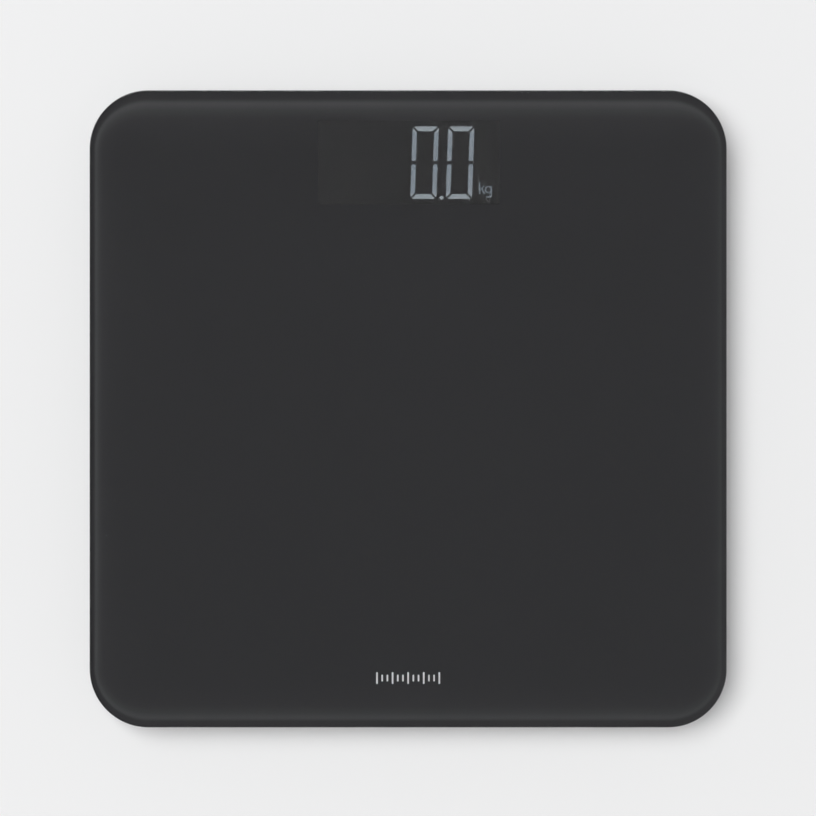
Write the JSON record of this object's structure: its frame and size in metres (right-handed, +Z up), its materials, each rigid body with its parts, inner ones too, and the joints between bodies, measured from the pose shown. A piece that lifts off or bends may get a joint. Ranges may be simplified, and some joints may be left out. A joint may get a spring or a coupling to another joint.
{
  "type": "digital bathroom scale",
  "caption": "Low square bathroom scale: rounded glass platform with a digital display behind it, on a shallow tray with four load-cell feet, a hinged battery door and a unit button.",
  "frame": {"origin": "on the surface the scale stands on, under the middle of the platform", "axes": "+Z up out of the platform, +Y towards the display edge, +X to the right of a person standing on it and facing the display"},
  "size_m": [0.3, 0.3, 0.023],
  "materials": {
    "tempered_glass": "polished, with ground and rounded edges",
    "black_print": "opaque ceramic ink on the back of the glass",
    "tinted_film": "smoke-tinted clear window film",
    "silver_print": "fine silver ink",
    "foam_tape": "closed-cell foam tape",
    "tray_plastic": "finely spark-textured moulding",
    "gauge_film": "amber strain gauge film",
    "screw_steel": "zinc-plated",
    "board_laminate": "green solder mask",
    "chip_epoxy": "moulded epoxy",
    "tinned_metal": "tinned",
    "capacitor_can": "sleeved can",
    "chip_ceramic": "fired ceramic with a dark coat",
    "socket_plastic": "natural nylon",
    "housing_plastic": "light-tight moulding",
    "lit_diffuser": "milky diffuser, lit cool white",
    "unlit_diffuser": "milky diffuser, dark",
    "led_resin": "clear resin over phosphor",
    "button_plastic": "satin moulding",
    "plunger_plastic": "natural nylon",
    "switch_metal": "stamped cover",
    "battery_sleeve": "printed plastic sleeve with metal ends",
    "nickel_strip": "nickel-plated spring steel",
    "door_plastic": "finely spark-textured moulding",
    "red_insulation": "soft insulation",
    "white_insulation": "soft insulation",
    "black_insulation": "soft insulation",
    "pad_rubber": "matt with moulded rings",
    "shoe_plastic": "plain moulding",
    "cell_steel": "stamped and plated",
    "holder_plastic": "natural glass-filled moulding"
  },
  "bodies": {
    "scale": {"glass_platform": "tempered_glass", "back_print": "black_print", "display_film": "tinted_film", "printed_mark": "silver_print", "adhesive_tape": "foam_tape", "base_tray": "tray_plastic", "strain_gauges": "gauge_film", "holder_screws": "screw_steel", "circuit_board": "board_laminate", "board_screws": "screw_steel", "controller_chip": "chip_epoxy", "chip_leads": "tinned_metal", "capacitors": "capacitor_can", "chip_resistors": "chip_ceramic", "wire_sockets": "socket_plastic", "wire_plugs": "socket_plastic", "display_housing": "housing_plastic", "lit_bars": "lit_diffuser", "unlit_bars": "unlit_diffuser", "unit_symbol": "lit_diffuser", "led_chips": "led_resin", "display_gasket": "foam_tape", "button_switch": "switch_metal", "battery_1": "battery_sleeve", "battery_2": "battery_sleeve", "battery_3": "battery_sleeve", "battery_contacts": "nickel_strip", "battery_springs": "nickel_strip", "cell_wires_red": "red_insulation", "cell_wires_white": "white_insulation", "cell_wires_black": "black_insulation", "battery_lead_red": "red_insulation", "battery_lead_black": "black_insulation", "foot_pad_rear_left": "pad_rubber", "foot_shoe_rear_left": "shoe_plastic", "load_cell_rear_left": "cell_steel", "cell_holder_rear_left": "holder_plastic", "foot_pad_rear_right": "pad_rubber", "foot_shoe_rear_right": "shoe_plastic", "load_cell_rear_right": "cell_steel", "cell_holder_rear_right": "holder_plastic", "foot_pad_front_left": "pad_rubber", "foot_shoe_front_left": "shoe_plastic", "load_cell_front_left": "cell_steel", "cell_holder_front_left": "holder_plastic", "foot_pad_front_right": "pad_rubber", "foot_shoe_front_right": "shoe_plastic", "load_cell_front_right": "cell_steel", "cell_holder_front_right": "holder_plastic"},
    "door": {"battery_door": "door_plastic"},
    "button": {"unit_button": "button_plastic", "switch_plunger": "plunger_plastic"}
  },
  "joints": [
    {"name": "battery_door_hinge", "type": "hinge", "parent": "scale", "child": "door", "pos_m": [0, 0.0501, 0.0043], "axis": [1, 0, 0], "range_deg": [0, 95]},
    {"name": "unit_button_press", "type": "slide", "parent": "scale", "child": "button", "axis": [0, 0, 1], "range_m": [0, 0.0004], "stiffness_N_per_m": 2500, "springref_m": -0.0003}
  ]
}
